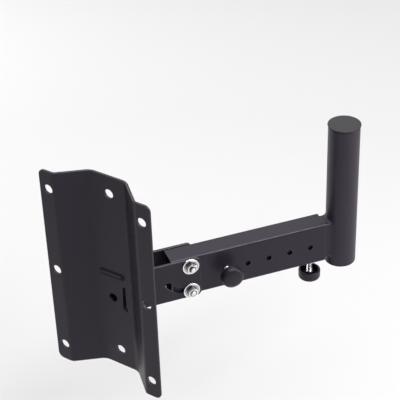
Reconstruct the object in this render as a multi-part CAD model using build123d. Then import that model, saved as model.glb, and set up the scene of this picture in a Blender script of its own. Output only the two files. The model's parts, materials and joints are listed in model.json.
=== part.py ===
from build123d import *
import os
from math import cos, radians, sin, sqrt, tan

# Wall bracket for a loudspeaker, in millimetres
# X points out of the wall and Z up; the origin is the centre of the wall-hole pattern, in the wall's plane

# Wall plate: one sheet pressed to a hat section
PLATE_WIDTH = 140.0
PLATE_HEIGHT = 250.0
PLATE_SHEET = 2.5
FLANGE_WIDTH = 19.5
WEB_WIDTH = 44.0
HAT_DEPTH = 25.0
FLANGE_BEND = 5.5
WEB_BEND = 14.0
PLATE_CORNER = 7.0
PLATE_EDGE = 0.4
WALL_HOLE = 11.0
WALL_HOLE_INSET = 11.0
WALL_HOLE_END = 22.0
ACCESS_DROP = 12.5
ACCESS_SLOT_WIDTH = 6.0
ACCESS_SLOT_HEIGHT = 32.5
ACCESS_SLOT_SIDE = 15.8
ACCESS_SLOT_DROP = 9.2

# Where the arm leaves the plate's web, and its direction
ARM_YAW = 36.0
ARM_ROOT_Y = 5.0
ARM_HEIGHT = -20.0

# Pivot channel: two cheeks, a cross plate and a bottom plate, welded to the web
CHEEK_SHEET = 3.0
CHEEK_NOSE = 12.0
CHEEK_CORNER = 6.0
CHEEK_EDGE = 0.5
CHEEK_CLEARANCE = 0.3
CROSS_DROP = 6.0
BOTTOM_INSET = 0.5
CROSS_SHEET = 3.0
CROSS_REACH = 34.0
CROSS_TAB_WIDTH = 21.0
CROSS_TAB_PROUD = 1.0
SLOT_CLEARANCE = 0.5

# Outer tube of the arm
OUTER_HEIGHT = 50.0
OUTER_WIDTH = 25.0
OUTER_LENGTH = 182.0
OUTER_CORNER = 3.0
TUBE_WALL = 2.0
OUTER_SETBACK = 63.5
LOCK_HOLE_START = 63.5
LOCK_HOLE_END = 18.5
LOCK_HOLE_COUNT = 5
LOCK_HOLE_DROP = 1.5

# Pivot bolt and tilt bolt
PIVOT_SETBACK = 20.5
BOLT_EDGE = 9.0
TILT_RANGE = 54.0
BOLT = 6.0
BOLT_CLEARANCE = 0.5
PIVOT_RUNNING = 0.06
THREAD_CLEARANCE = 0.05
HEX_ACROSS = 10.0
HEAD_HEIGHT = 4.0
NUT_HEIGHT = 5.0
BOLT_PROUD = 1.2
BOLT_POINT = 1.0
WASHER = 19.0
WASHER_SHEET = 1.6
WASHER_PLAY = 0.05

# Inner tube and the pole it carries
SLIDE_CLEARANCE = 0.5
INNER_CORNER = 2.0
INNER_BOLT_GAP = 16.0
POLE_GAP = 7.0
POLE = 35.0
POLE_WALL = 2.0
POLE_STAND = 118.0
POLE_FOOT = 11.0
WELD_SEAT_DEPTH = 0.25
WELD_SEAT_MARGIN = 1.0
CAP_FLANGE = 2.2
CAP_EDGE = 1.2
CAP_PLUG = 14.0
CAP_PLUG_WALL = 2.5
CAP_CLEARANCE = 0.1

# Hand knobs with their screws
SCREW = 6.0
SCREW_CLEARANCE = 0.3
SCREW_POINT = 0.8
SMALL_NUT_ACROSS = 10.0
SMALL_NUT_HEIGHT = 5.0
KNOB = 25.0
KNOB_HEIGHT = 10.5
KNOB_CROWN = 2.4
KNOB_FLAT = 4.0
KNOB_BROW = 0.8
KNOB_RIM = 1.0
KNOB_WALL = 2.2
KNOB_HOLLOW = 7.0
KNOB_HUB = 9.0
KNOB_HUB_DROP = 2.5
KNOB_GRIP = 8.0
LOCK_KNOB_GAP = 12.0
LOCK_TIP_GAP = 0.7
CLAMP_INSET = 13.5
CLAMP_KNOB_GAP = 17.6
CLAMP_TIP_GAP = 0.4

# Places worked out along the arm from the web's back face
YAW = radians(ARM_YAW)
WEB_FRONT = HAT_DEPTH + PLATE_SHEET
WALL_HOLE_SIDE = PLATE_WIDTH / 2 - WALL_HOLE_INSET
WALL_HOLE_RISE = PLATE_HEIGHT / 2 - WALL_HOLE_END
OUTER_END = OUTER_SETBACK + OUTER_LENGTH
PIVOT_PLACE = OUTER_SETBACK + PIVOT_SETBACK
LOCK_PLACE = OUTER_SETBACK + LOCK_HOLE_START
LOCK_HOLE = SCREW + 2 * SCREW_CLEARANCE
LOCK_HOLE_PITCH = (OUTER_LENGTH - LOCK_HOLE_START - LOCK_HOLE_END) / (LOCK_HOLE_COUNT - 1)
CLAMP_PLACE = OUTER_END - CLAMP_INSET
POLE_PLACE = OUTER_END + POLE_GAP + POLE / 2
INNER_START = PIVOT_PLACE + INNER_BOLT_GAP

# Places worked out across the arm from its middle
CHEEK_INNER = OUTER_WIDTH / 2 + CHEEK_CLEARANCE
CHEEK_OUTER = CHEEK_INNER + CHEEK_SHEET
BORE_HEIGHT = OUTER_HEIGHT - 2 * TUBE_WALL
BORE_WIDTH = OUTER_WIDTH - 2 * TUBE_WALL
INNER_HEIGHT = BORE_HEIGHT - 2 * SLIDE_CLEARANCE
INNER_WIDTH = BORE_WIDTH - 2 * SLIDE_CLEARANCE
WASHER_SEAT = CHEEK_OUTER + WASHER_PLAY
NUT_SEAT = WASHER_SEAT + WASHER_SHEET
BOLT_LENGTH = 2 * NUT_SEAT + NUT_HEIGHT + BOLT_PROUD

# Heights worked out from the arm's middle
CHEEK_HEIGHT = OUTER_HEIGHT
CROSS_RISE = CHEEK_HEIGHT / 2 - CROSS_DROP
BOTTOM_RISE = BOTTOM_INSET + CROSS_SHEET / 2 - CHEEK_HEIGHT / 2
BOLT_RISE = OUTER_HEIGHT / 2 - BOLT_EDGE
POLE_ABOVE = INNER_HEIGHT / 2 + POLE_STAND
POLE_BELOW = OUTER_HEIGHT / 2 + POLE_FOOT
WELD_SEAT = POLE - 2 * WELD_SEAT_DEPTH
WELD_SEAT_REACH = INNER_HEIGHT / 2 + WELD_SEAT_MARGIN

# Frame of the arm: x along it, y towards the bolt heads, z up
ARM = Plane(
    origin=(HAT_DEPTH, ARM_ROOT_Y, ARM_HEIGHT),
    x_dir=(cos(YAW), -sin(YAW), 0),
    z_dir=(0, 0, 1),
)
BEYOND = 2 * PLATE_WIDTH


def on_arm(shape):
    """Carry a shape from the arm's own frame to the bracket's frame."""
    return ARM.location * shape


def box_between(low, high):
    """Box from one corner to the opposite one."""
    size = [b - a for a, b in zip(low, high)]
    middle = [(a + b) / 2 for a, b in zip(low, high)]
    return Pos(*middle) * Box(*size)


def bar_along(axis, place, diameter, start, end):
    """Round bar of a diameter through a place, between two distances along an axis."""
    facing = {"x": Rot(0, 90, 0), "y": Rot(-90, 0, 0), "z": Rot(0, 0, 0)}[axis]
    shift = {"x": (1, 0, 0), "y": (0, 1, 0), "z": (0, 0, 1)}[axis]
    middle = (start + end) / 2
    centre = [p + middle * s for p, s in zip(place, shift)]
    return Pos(*centre) * facing * Cylinder(diameter / 2, end - start)


def hat_area(offset):
    """Area in plan behind the hat section's back face, moved forward by an offset."""
    ramp_turn = Vector(1, 0).get_angle(Vector((PLATE_WIDTH - WEB_WIDTH) / 2 - FLANGE_WIDTH, HAT_DEPTH))
    spread = offset * tan(radians(ramp_turn) / 2)
    edge = PLATE_WIDTH / 2
    foot = edge - FLANGE_WIDTH + spread
    brow = WEB_WIDTH / 2 + spread
    points = [
        (offset, edge),
        (offset, foot),
        (HAT_DEPTH + offset, brow),
        (HAT_DEPTH + offset, -brow),
        (offset, -foot),
        (offset, -edge),
    ]
    flange_bend = FLANGE_BEND + PLATE_SHEET - offset
    web_bend = WEB_BEND + offset
    line = FilletPolyline(*points, radius=[flange_bend, web_bend, web_bend, flange_bend])
    base = Polyline((offset, -edge), (-HAT_DEPTH, -edge), (-HAT_DEPTH, edge), (offset, edge))
    return make_face(line.edges() + base.edges())


def hat_block(offset):
    """Solid behind the hat section's face, over the plate's height."""
    low = Pos(0, 0, -PLATE_HEIGHT / 2)
    return low * extrude(hat_area(offset), PLATE_HEIGHT, dir=(0, 0, 1))


def tab_slot():
    """Straight punched slot in the web for the cross plate's tab."""
    half_tab = CROSS_TAB_WIDTH / 2 / cos(YAW)
    lean = PLATE_SHEET * tan(YAW)
    left = ARM_ROOT_Y + half_tab + SLOT_CLEARANCE
    right = ARM_ROOT_Y - half_tab - lean - SLOT_CLEARANCE
    half_height = CROSS_SHEET / 2 + SLOT_CLEARANCE
    rise = ARM_HEIGHT + CROSS_RISE
    return box_between((0, right, rise - half_height), (BEYOND, left, rise + half_height))


def access_slot():
    """Upright slot in the web, just inside the nuts' side cheek."""
    middle = ARM_ROOT_Y - ACCESS_SLOT_SIDE
    half_width = ACCESS_SLOT_WIDTH / 2
    half_height = ACCESS_SLOT_HEIGHT / 2
    rise = ARM_HEIGHT - ACCESS_SLOT_DROP
    low = (0, middle - half_width, rise - half_height)
    return box_between(low, (BEYOND, middle + half_width, rise + half_height))


def wall_plate():
    """Pressed sheet with its wall holes, the cross plate's slot and the access openings into the channel."""
    plate = hat_block(PLATE_SHEET) - hat_block(0)
    side = PLATE_WIDTH / 2 - PLATE_SHEET
    corners = plate.edges().filter_by(Axis.X).filter_by(lambda e: abs(e.center().Y) > side)
    plate = fillet(corners, PLATE_CORNER)
    bent = plate.edges().filter_by(lambda e: e.geom_type != GeomType.LINE)
    straight = plate.edges().filter_by(GeomType.LINE).filter_by(lambda e: abs(e.center().Y) > WALL_HOLE_SIDE)
    plate = chamfer(bent + straight, PLATE_EDGE)
    ends = (-WALL_HOLE_RISE, WALL_HOLE_RISE)
    places = [(0, y, z) for y in (-WALL_HOLE_SIDE, WALL_HOLE_SIDE) for z in (*ends, 0)]
    places += [(0, 0, z) for z in ends]
    places.append((0, ARM_ROOT_Y, ARM_HEIGHT - ACCESS_DROP))
    for place in places:
        plate -= bar_along("x", place, WALL_HOLE, -HAT_DEPTH, BEYOND)
    return plate - tab_slot() - access_slot()


def web_slab(depth):
    """Layer of the web's thickness that a tab of some depth fills."""
    reach = PLATE_WIDTH / 2
    return box_between((WEB_FRONT - depth, -reach, -PLATE_HEIGHT), (WEB_FRONT, reach, PLATE_HEIGHT))


def cheek(nearest):
    """Cheek plate mitred to the web, from its least y on, with the pivot hole and the tilt slot."""
    end = PIVOT_PLACE + CHEEK_NOSE
    sheet = Plane.XZ.offset(-nearest - CHEEK_SHEET)
    outline = Pos((end - HAT_DEPTH) / 2, 0) * Rectangle(end + HAT_DEPTH, CHEEK_HEIGHT)
    outline = fillet(outline.vertices().group_by(Axis.X)[-1], CHEEK_CORNER)
    plate = extrude(sheet * outline, CHEEK_SHEET)
    plate = chamfer(plate.faces().filter_by(Axis.Y).edges(), CHEEK_EDGE)
    swing = CenterArc((PIVOT_PLACE, BOLT_RISE), 2 * BOLT_RISE, -90 - TILT_RANGE, TILT_RANGE)
    openings = SlotArc(swing, BOLT + 2 * BOLT_CLEARANCE)
    openings += Pos(PIVOT_PLACE, BOLT_RISE) * Circle(BOLT / 2 + BOLT_CLEARANCE)
    plate -= extrude(sheet * openings, CHEEK_SHEET)
    return on_arm(plate) - hat_block(PLATE_SHEET)


def stay(half_width, rise):
    """Flat plate along the arm as far as the stays reach, with its middle at a height."""
    half_sheet = CROSS_SHEET / 2
    low = (-HAT_DEPTH, -half_width, rise - half_sheet)
    return on_arm(box_between(low, (CROSS_REACH, half_width, rise + half_sheet)))


def cross_plate():
    """Plate between the cheeks, close to the web, with a tab that shows at the web's back."""
    tab = stay(CROSS_TAB_WIDTH / 2, CROSS_RISE) & web_slab(PLATE_SHEET + CROSS_TAB_PROUD)
    return stay(CHEEK_INNER, CROSS_RISE) - hat_block(PLATE_SHEET) + tab


def bottom_plate():
    """Plate that closes the channel below, close to the web."""
    return stay(CHEEK_INNER, BOTTOM_RISE) - hat_block(PLATE_SHEET)


def tube(height, width, corner, wall, start, end):
    """Rectangular tube along the arm between two places."""
    section = RectangleRounded(width, height, corner)
    section -= RectangleRounded(width - 2 * wall, height - 2 * wall, max(corner - wall, corner / 3))
    return extrude(Plane.YZ.offset(start) * section, end - start)


def outer_tube():
    """Outer tube with its bolt holes, the row of lock holes and the hole of the clamp screw."""
    body = tube(OUTER_HEIGHT, OUTER_WIDTH, OUTER_CORNER, TUBE_WALL, OUTER_SETBACK, OUTER_END)
    across = OUTER_WIDTH
    body -= bar_along("y", (PIVOT_PLACE, 0, BOLT_RISE), BOLT + 2 * PIVOT_RUNNING, -across, across)
    body -= bar_along("y", (PIVOT_PLACE, 0, -BOLT_RISE), BOLT + 2 * BOLT_CLEARANCE, -across, across)
    for step in range(LOCK_HOLE_COUNT):
        place = (LOCK_PLACE + step * LOCK_HOLE_PITCH, 0, -LOCK_HOLE_DROP)
        body -= bar_along("y", place, LOCK_HOLE, -across, 0)
    body -= bar_along("z", (CLAMP_PLACE, 0, 0), LOCK_HOLE, -OUTER_HEIGHT, 0)
    return on_arm(body)


def inner_tube():
    """Inner tube, coped to the pole, with the hole of the lock screw."""
    body = tube(INNER_HEIGHT, INNER_WIDTH, INNER_CORNER, TUBE_WALL, INNER_START, POLE_PLACE)
    body -= bar_along("z", (POLE_PLACE, 0, 0), WELD_SEAT, -INNER_HEIGHT, INNER_HEIGHT)
    body -= bar_along("y", (LOCK_PLACE, 0, -LOCK_HOLE_DROP), LOCK_HOLE, -INNER_WIDTH, 0)
    return on_arm(body)


def speaker_pole():
    """Round pole for the loudspeaker's socket, turned to a weld seat from just above the arm down."""
    place = (POLE_PLACE, 0, 0)
    pole = bar_along("z", place, POLE, WELD_SEAT_REACH, POLE_ABOVE)
    pole += bar_along("z", place, WELD_SEAT, -POLE_BELOW, WELD_SEAT_REACH)
    pole -= bar_along("z", place, POLE - 2 * POLE_WALL, -POLE_BELOW, POLE_ABOVE)
    return on_arm(pole)


def turned(edges):
    """Solid turned about Z from the edges of half its section, drawn as radius and height."""
    return revolve(Plane.XZ * make_face(edges), Axis.Z)


def pole_cap():
    """Moulded cap: a flange on the pole's end and a hollow plug in its bore."""
    rim = POLE / 2
    plug = POLE / 2 - POLE_WALL - CAP_CLEARANCE
    bore = plug - CAP_PLUG_WALL
    section = Polyline(
        (0, 0), (bore, 0), (bore, -CAP_PLUG), (plug, -CAP_PLUG), (plug, 0), (rim, 0),
        (rim, CAP_FLANGE - CAP_EDGE), (rim - CAP_EDGE, CAP_FLANGE), (0, CAP_FLANGE), close=True
    )
    return on_arm(Pos(POLE_PLACE, 0, POLE_ABOVE) * turned(section.edges()))


def hexagon(across, height, bore):
    """Hexagon nut standing on its seat, chamfered at both ends to a circle across its flats."""
    prism = extrude(RegularPolygon(across / 2, 6, major_radius=False), height)
    corner = across / sqrt(3)
    drop = (corner - across / 2) * tan(radians(30))
    outline = Polyline(
        (0, 0), (across / 2, 0), (corner, drop), (corner, height - drop), (across / 2, height), (0, height),
        close=True
    )
    nut = prism & turned(outline.edges())
    if bore:
        nut -= Cylinder(bore / 2, 2 * height)
    return nut


def bolt_washer():
    """Flat washer of a bolt, standing on its seat."""
    return extrude(Circle(WASHER / 2) - Circle((BOLT + BOLT_CLEARANCE) / 2), WASHER_SHEET)


def bolt_shank(length):
    """Hexagon bolt with its head's seat at zero and its shank along +Z, pointed at the end."""
    shank = Pos(0, 0, length / 2) * Cylinder(BOLT / 2, length)
    shank = chamfer(shank.edges().group_by(Axis.Z)[-1], BOLT_POINT)
    return Pos(0, 0, -HEAD_HEIGHT) * hexagon(HEX_ACROSS, HEAD_HEIGHT, 0) + shank


def bolt_set(name, rise, head_seat):
    """Bolt, washer and nut across the cheeks at a height, with the head on its seat at +y."""
    nutwards = Pos(PIVOT_PLACE, 0, rise) * Rot(90, 0, 0)
    nut = hexagon(HEX_ACROSS, NUT_HEIGHT, BOLT + 2 * THREAD_CLEARANCE)
    pieces = {
        f"{name}_bolt": nutwards * Pos(0, 0, -head_seat) * bolt_shank(BOLT_LENGTH),
        f"{name}_washer": nutwards * Pos(0, 0, WASHER_SEAT) * bolt_washer(),
        f"{name}_nut": nutwards * Pos(0, 0, NUT_SEAT) * nut,
    }
    return {node: on_arm(piece) for node, piece in pieces.items()}


def head_washer(rise):
    """Washer under a bolt's head, on the cheek at +y."""
    return on_arm(Pos(PIVOT_PLACE, WASHER_SEAT, rise) * Rot(-90, 0, 0) * bolt_washer())


def cup_knob():
    """Cup-shaped knob, open at its rim at zero, with a hub for the screw and a crowned face at +Z."""
    radius = KNOB / 2
    flat = KNOB_FLAT / 2
    hub = KNOB_HUB / 2
    inside = radius - KNOB_WALL
    bore = SCREW / 2 + THREAD_CLEARANCE
    brow = radius - KNOB_BROW
    flank = KNOB_HEIGHT - KNOB_CROWN
    grip = KNOB_GRIP + THREAD_CLEARANCE
    crown = TangentArc((flat, KNOB_HEIGHT), (brow, flank), tangent=(1, 0))
    section = Polyline(
        (brow, flank), (radius, flank - KNOB_BROW), (radius, KNOB_RIM), (radius - KNOB_RIM, 0), (inside, 0),
        (inside, KNOB_HOLLOW), (hub, KNOB_HOLLOW), (hub, KNOB_HUB_DROP), (bore, KNOB_HUB_DROP), (bore, grip),
        (0, grip), (0, KNOB_HEIGHT), (flat, KNOB_HEIGHT)
    )
    return turned(crown.edges() + section.edges())


def knob_screw(reach):
    """Screw from the depth where its knob grips it to a tip at -Z, a reach away from the knob's rim."""
    length = reach + KNOB_GRIP
    screw = Pos(0, 0, KNOB_GRIP - length / 2) * Cylinder(SCREW / 2, length)
    return chamfer(screw.edges().group_by(Axis.Z)[0], SCREW_POINT)


def lock_pieces():
    """Lock knob with its screw on the arm's side, and the nut behind the inner tube's wall."""
    outwards = Pos(LOCK_PLACE, 0, -LOCK_HOLE_DROP) * Rot(90, 0, 0)
    rim = OUTER_WIDTH / 2 + LOCK_KNOB_GAP
    tip = INNER_WIDTH / 2 + LOCK_TIP_GAP
    nut = hexagon(SMALL_NUT_ACROSS, SMALL_NUT_HEIGHT, SCREW + 2 * THREAD_CLEARANCE)
    pieces = {
        "lock_knob": outwards * Pos(0, 0, rim) * cup_knob(),
        "lock_screw": outwards * Pos(0, 0, rim) * knob_screw(rim - tip),
        "lock_nut": outwards * Pos(0, 0, INNER_WIDTH / 2 - TUBE_WALL - SMALL_NUT_HEIGHT) * nut,
    }
    return {node: on_arm(piece) for node, piece in pieces.items()}


def clamp_pieces():
    """Clamp knob with its screw under the arm's mouth, and the nut welded to the tube."""
    downwards = Pos(CLAMP_PLACE, 0, 0) * Rot(180, 0, 0)
    rim = OUTER_HEIGHT / 2 + CLAMP_KNOB_GAP
    tip = INNER_HEIGHT / 2 + CLAMP_TIP_GAP
    nut = hexagon(SMALL_NUT_ACROSS, SMALL_NUT_HEIGHT, SCREW + 2 * THREAD_CLEARANCE)
    pieces = {
        "clamp_knob": downwards * Pos(0, 0, rim) * cup_knob(),
        "clamp_screw": downwards * Pos(0, 0, rim) * knob_screw(rim - tip),
        "clamp_nut": downwards * Pos(0, 0, OUTER_HEIGHT / 2) * nut,
    }
    return {node: on_arm(piece) for node, piece in pieces.items()}


def build():
    """All pieces by name."""
    pieces = {
        "wall_plate": wall_plate(),
        "head_side_cheek": cheek(CHEEK_INNER),
        "nut_side_cheek": cheek(-CHEEK_OUTER),
        "cross_plate": cross_plate(),
        "bottom_plate": bottom_plate(),
        "outer_tube": outer_tube(),
        "inner_tube": inner_tube(),
        "speaker_pole": speaker_pole(),
        "pole_cap": pole_cap(),
        "tilt_head_washer": head_washer(-BOLT_RISE),
    }
    pieces.update(bolt_set("pivot", BOLT_RISE, CHEEK_OUTER))
    pieces.update(bolt_set("tilt", -BOLT_RISE, NUT_SEAT))
    pieces.update(lock_pieces())
    pieces.update(clamp_pieces())
    return pieces


os.makedirs("parts", exist_ok=True)
for node, piece in build().items():
    export_step(piece, f"parts/{node}.step")
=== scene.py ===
import json
from math import cos, pi, radians, sin, tan

import bpy
import numpy as np
from bpy.props import FloatProperty, FloatVectorProperty, PointerProperty
from bpy.types import NodeSocket, Operator, Panel, PropertyGroup
from mathutils import Matrix, Vector


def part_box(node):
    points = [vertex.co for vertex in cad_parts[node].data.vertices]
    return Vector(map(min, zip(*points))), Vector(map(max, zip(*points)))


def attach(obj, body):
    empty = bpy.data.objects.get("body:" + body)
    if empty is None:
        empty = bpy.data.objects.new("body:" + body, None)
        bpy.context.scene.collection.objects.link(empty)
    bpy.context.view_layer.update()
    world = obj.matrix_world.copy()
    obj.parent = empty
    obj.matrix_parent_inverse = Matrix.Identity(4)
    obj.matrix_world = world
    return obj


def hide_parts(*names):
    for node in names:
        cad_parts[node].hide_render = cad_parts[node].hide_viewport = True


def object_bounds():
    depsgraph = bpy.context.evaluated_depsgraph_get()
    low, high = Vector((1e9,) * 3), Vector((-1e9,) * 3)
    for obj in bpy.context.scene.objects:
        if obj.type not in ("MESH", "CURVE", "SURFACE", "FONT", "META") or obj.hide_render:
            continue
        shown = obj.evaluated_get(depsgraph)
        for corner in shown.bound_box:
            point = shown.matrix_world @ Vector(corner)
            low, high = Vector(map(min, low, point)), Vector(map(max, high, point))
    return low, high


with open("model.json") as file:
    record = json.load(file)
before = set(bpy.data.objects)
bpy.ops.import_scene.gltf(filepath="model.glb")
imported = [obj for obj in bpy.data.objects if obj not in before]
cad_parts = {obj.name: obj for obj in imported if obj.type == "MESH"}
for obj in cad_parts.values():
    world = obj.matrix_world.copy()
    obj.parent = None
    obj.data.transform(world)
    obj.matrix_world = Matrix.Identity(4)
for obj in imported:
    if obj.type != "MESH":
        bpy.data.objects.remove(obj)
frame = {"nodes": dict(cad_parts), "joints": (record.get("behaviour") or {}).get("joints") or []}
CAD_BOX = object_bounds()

bl_info = {
    "name": "Loudspeaker Wall Bracket",
    "version": (1, 0, 0),
    "blender": (4, 5, 0),
    "location": "View3D > Sidebar > Bracket",
    "description": "Dresses a black steel wall bracket: threads, washers, knobs, welds, finishes and a studio stage",
    "category": "Object",
}

MM = 0.001
TURN = 2 * pi

# Steel pieces that keep their CAD mesh under the coat
COATED = (
    "wall_plate", "head_side_cheek", "nut_side_cheek", "cross_plate", "bottom_plate", "outer_tube", "inner_tube",
)

# Directions of the arm, taken from its joints
JOINTS = {joint["name"]: joint for joint in frame["joints"]}
ALONG = np.array(JOINTS["arm_extension"]["axis"], float)
SIDE = np.array(JOINTS["arm_tilt"]["axis"], float)
NUTWARDS = -SIDE
UP = np.array([0.0, 0.0, 1.0])
ROOMWARDS = np.array([1.0, 0.0, 0.0])

# Fineness of the meshes: columns round a piece, and rows of its faces and curves
COLUMNS = 96
BEAD_COLUMNS = 20
BEAD_ROWS = 180
RIPPLE_ROWS = 12
THREAD_ROWS = 10
HEAD_ROWS = 14
NUT_ROWS = 10
CROWN_ROWS = 28
DOME_ROWS = 40
FILLET_ROWS = 14

# Limits of the meshes
NEAR_AXIS = 0.03            # share of a radius, or angle, at which a face's middle closes
SHARP = 0.02 * MM           # rounding of a corner that looks sharp
SAME_POINT = 1e-4 * MM      # distance under which two points are one
SHARP_ANGLE = radians(38)   # angle at which the shading breaks
FACE_TOLERANCE = 0.05 * MM  # distance from a face at which a point still lies on it
THIN_END = 0.01             # squared share of a bead's radius that is left at its ends

# Forms of hexagons, threads and beads
CHAMFER_START = 0.96        # share of the flats at which a chamfer starts
CHAMFER_SLOPE = tan(pi / 6)
HEAD_FOOT = 0.985           # width of a head's foot, as a share of the head's
GROOVE_WIDENED = 1.25       # how much the cosine of a thread's groove is stretched
GROOVE_CUT = 0.1            # and how much is then cut off it
RIPPLE_MEAN = 0.6           # part of a ripple that lies below a bead's radius
FREE_HOLES = 4              # lock holes that no screw goes through

# Painted light on zinc, from 0 for painted shade in hollows to 1 for painted highlights on edges and rims: distances
# from a bolt's tip, shares of the way from a nut's bore to its edge, and distances from a washer's rim, each with
# its value there
HEAD_PAINTED_LIGHT = 0.8
TIP_PAINTED_LIGHT = (-1.2 * MM, -0.7 * MM, 0), (0.12, 0.9, 1.0)
NUT_PAINTED_LIGHT = (0, 0.12, 0.35, 0.8, 1), (0.0, 0.1, 1.0, 1.0, 1.0)
NUT_SEAT_PAINTED_LIGHT = 0.12
WASHER_PAINTED_LIGHT = (0.9 * MM, 2.2 * MM, 4.5 * MM), (1.0, 0.42, 0.12)
SCREW_PAINTED_LIGHT = 0.95

# Coats: colour, gloss, and how much painted highlight they get along sharp edges and on rounded brows
COATS = {
    "Powder Coat": ("coat", 0.31, 1.6, 0.8),
    "Weld Coat": ("coat", 0.31, 0.6, 0.0),
    "Smoked Weld": ("coat", 0.19, 0.0, 0.0),
    # Painted light: the pole's coat is paler than the plate's, and glossier
    "Pole Coat": ("pole", 0.36, 1.2, 0.0),
    # Painted shade: near-black lining of the lock holes' bores
    "Dull Scale": ("scale", 0.06, 0.0, 0.0),
}
BLACK_TINT = (0.96, 0.87, 1.0, 1)
# Painted highlight: paler coat along sharp edges and rounded brows
COAT_EDGE_HIGHLIGHT = (0.105, 0.099, 0.113)
# Painted highlight: paler knob plastic along its edges
KNOB_EDGE_HIGHLIGHT = (0.03, 0.027, 0.034)
# Painted shade: darker cap plastic along the cap's edge
CAP_EDGE_SHADE = (0.006, 0.0055, 0.0065)
# Painted highlight: paler zinc along its edges
ZINC_EDGE_HIGHLIGHT = (0.9, 0.9, 0.92)
# Painted shade in the zinc's hollows and between its parts
ZINC_HOLLOW_SHADE = (0.09, 0.088, 0.094, 1)

# Lamps: place, target and size
LAMPS = {
    "key": ((0.3, -0.2, 1.5), (0.1, -0.05, 0), (1.8, 1.8)),
    "side": ((0.6, -1.6, 0.6), (0.1, -0.05, 0), (0.8, 1.4)),
    "left": ((0.4, 1.6, 0.5), (0.2, -0.1, 0), (0.6, 1.2)),
    "back": ((1.3, 0.75, 1.05), (0.13, -0.07, 0), (1.4, 0.9)),
    "strip": ((-0.02, -0.98, 1.16), (0.13, -0.07, 0), (1.2, 0.08)),
}
FLOOR_HALF = 8.0  # in metres
SENSOR = 36.0     # in millimetres


# Measuring the frame

def node_points(node):
    """All corner points of a CAD node, in metres."""
    mesh = frame["nodes"][node].data
    points = np.empty(3 * len(mesh.vertices), np.float32)
    mesh.vertices.foreach_get("co", points)
    return points.reshape(-1, 3).astype(float)


def span(node, place, axis):
    """Lowest and highest distance of a CAD node along an axis through a place."""
    along = (node_points(node) - place) @ axis
    return along.min(), along.max()


def radius_of(node, place, axis):
    """Greatest distance of a CAD node from an axis through a place."""
    offset = node_points(node) - place
    return np.linalg.norm(offset - np.outer(offset @ axis, axis), axis=1).max()


def middle(node):
    """Centre of a CAD node's box."""
    low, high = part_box(node)
    return np.array((low + high) / 2)


# Surfaces as arrays

def unit(vectors):
    """Vectors, or a single one, with their lengths made 1."""
    return vectors / np.linalg.norm(vectors, axis=-1, keepdims=True)


def across(axis):
    """Two unit vectors square to an axis and to each other."""
    upright = abs(axis @ UP) > 0.9
    first = unit(np.cross(ROOMWARDS if upright else UP, axis))
    return first, np.cross(axis, first)


def angles(columns=COLUMNS):
    """Angles of the columns round a piece, one array."""
    return np.arange(columns) * TURN / columns


def turned(radius, height, place, axis):
    """Grid of a turned surface: place + r (cos a e1 + sin a e2) + h axis.

    The rows are the points of the section and the columns the angles a; r and h may change with both."""
    first, second = across(axis)
    shape = (len(radius), COLUMNS)
    r = np.broadcast_to(radius.reshape(len(radius), -1), shape)[..., None]
    h = np.broadcast_to(height.reshape(len(height), -1), shape)[..., None]
    a = angles()[None, :, None]
    return place + r * (np.cos(a) * first + np.sin(a) * second) + h * axis


def turned_section(section, place, axis):
    """Grid of a turned surface from a section's points (r, h)."""
    return turned(section[:, 0], section[:, 1], place, axis)


def bent(start, corner, end, rows):
    """Curve from a start to an end by way of a corner: (1-t)^2 start + 2t(1-t) corner + t^2 end.

    Each may be many points, and their curves are then the rows of the result."""
    t = np.linspace(0, 1, rows)[:, None]
    return (1 - t) ** 2 * start[:, None] + 2 * t * (1 - t) * corner[:, None] + t ** 2 * end[:, None]


def rounded(corners, rows=6):
    """Line through corners (x, y, rounding): each is bent between points a rounding away on its two sides."""
    table = np.asarray(corners, float)
    corner, reach = table[:, :2], table[:, 2:]
    start = corner + reach * unit(np.roll(corner, 1, 0) - corner)
    end = corner + reach * unit(np.roll(corner, -1, 0) - corner)
    line = bent(start, corner, end, rows).reshape(-1, 2)
    moved = np.linalg.norm(np.diff(line, axis=0), axis=1) > SAME_POINT
    return line[np.concatenate([[True], moved])]


def ringed(path, first, second, radius):
    """Grid of a round bead: each path point p carries a ring p + r (cos a first + sin a second)."""
    a = angles(BEAD_COLUMNS)[None, :, None]
    return path[:, None] + radius[:, None, None] * (np.cos(a) * first[:, None] + np.sin(a) * second[:, None])


def grid_faces(rows, columns, loop):
    """Quads between neighbouring rows and columns; the columns close on themselves, and the rows too in a loop."""
    row, column = np.meshgrid(np.arange(rows if loop else rows - 1), np.arange(columns), indexing="ij")
    beside = (column + 1) % columns
    below = (row + 1) % rows
    corners = [row * columns + column, row * columns + beside, below * columns + beside, below * columns + column]
    return np.stack(corners, -1).reshape(-1, 4)


def add_object(name, data):
    """Object of some data, linked to the scene."""
    thing = bpy.data.objects.new(name, data)
    bpy.context.scene.collection.objects.link(thing)
    return thing


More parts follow.
